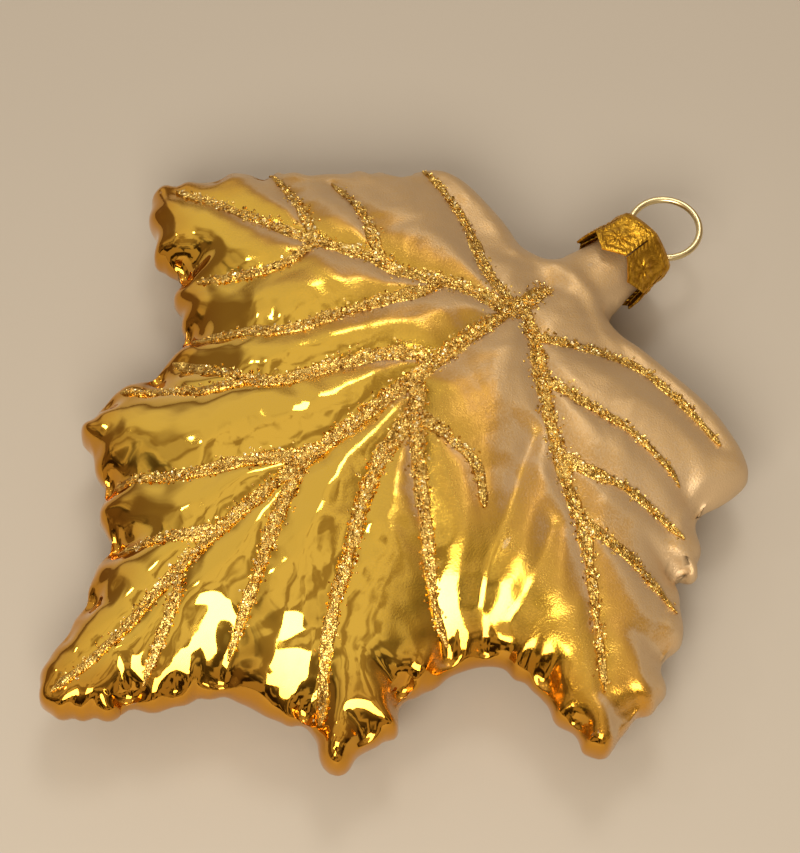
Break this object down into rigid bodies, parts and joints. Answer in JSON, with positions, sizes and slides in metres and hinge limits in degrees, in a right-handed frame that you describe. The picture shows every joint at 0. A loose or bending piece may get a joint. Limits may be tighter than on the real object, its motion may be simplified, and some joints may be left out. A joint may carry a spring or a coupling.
{
  "type": "glass leaf tree ornament",
  "caption": "Blown glass tree ornament shaped as a lobed, toothed leaf with glitter veins, a stamped metal cap on its neck and a wire hanging loop.",
  "frame": {"origin": "centre of the bounding box's base: the leaf lies on the flat spot of its back", "axes": "+Z out of the leaf's front, +Y along the midrib towards the hanging loop, +X to the right lobe as seen from the front with the loop up"},
  "size_m": [0.1024, 0.114, 0.0205],
  "materials": {
    "gilded_glass": "mirror gold blown glass, with matte peach lacquer over the neck, shoulders and right lobe",
    "gold_glitter": "loose gold glitter glued in raised lines",
    "stamped_brass": "thin stamped sheet with an embossed pattern",
    "brassed_wire": "pale drawn wire"
  },
  "bodies": {
    "root": {"glass_leaf": "gilded_glass", "glitter_veins": "gold_glitter", "cap": "stamped_brass", "hanger": "brassed_wire"}
  },
  "joints": []
}
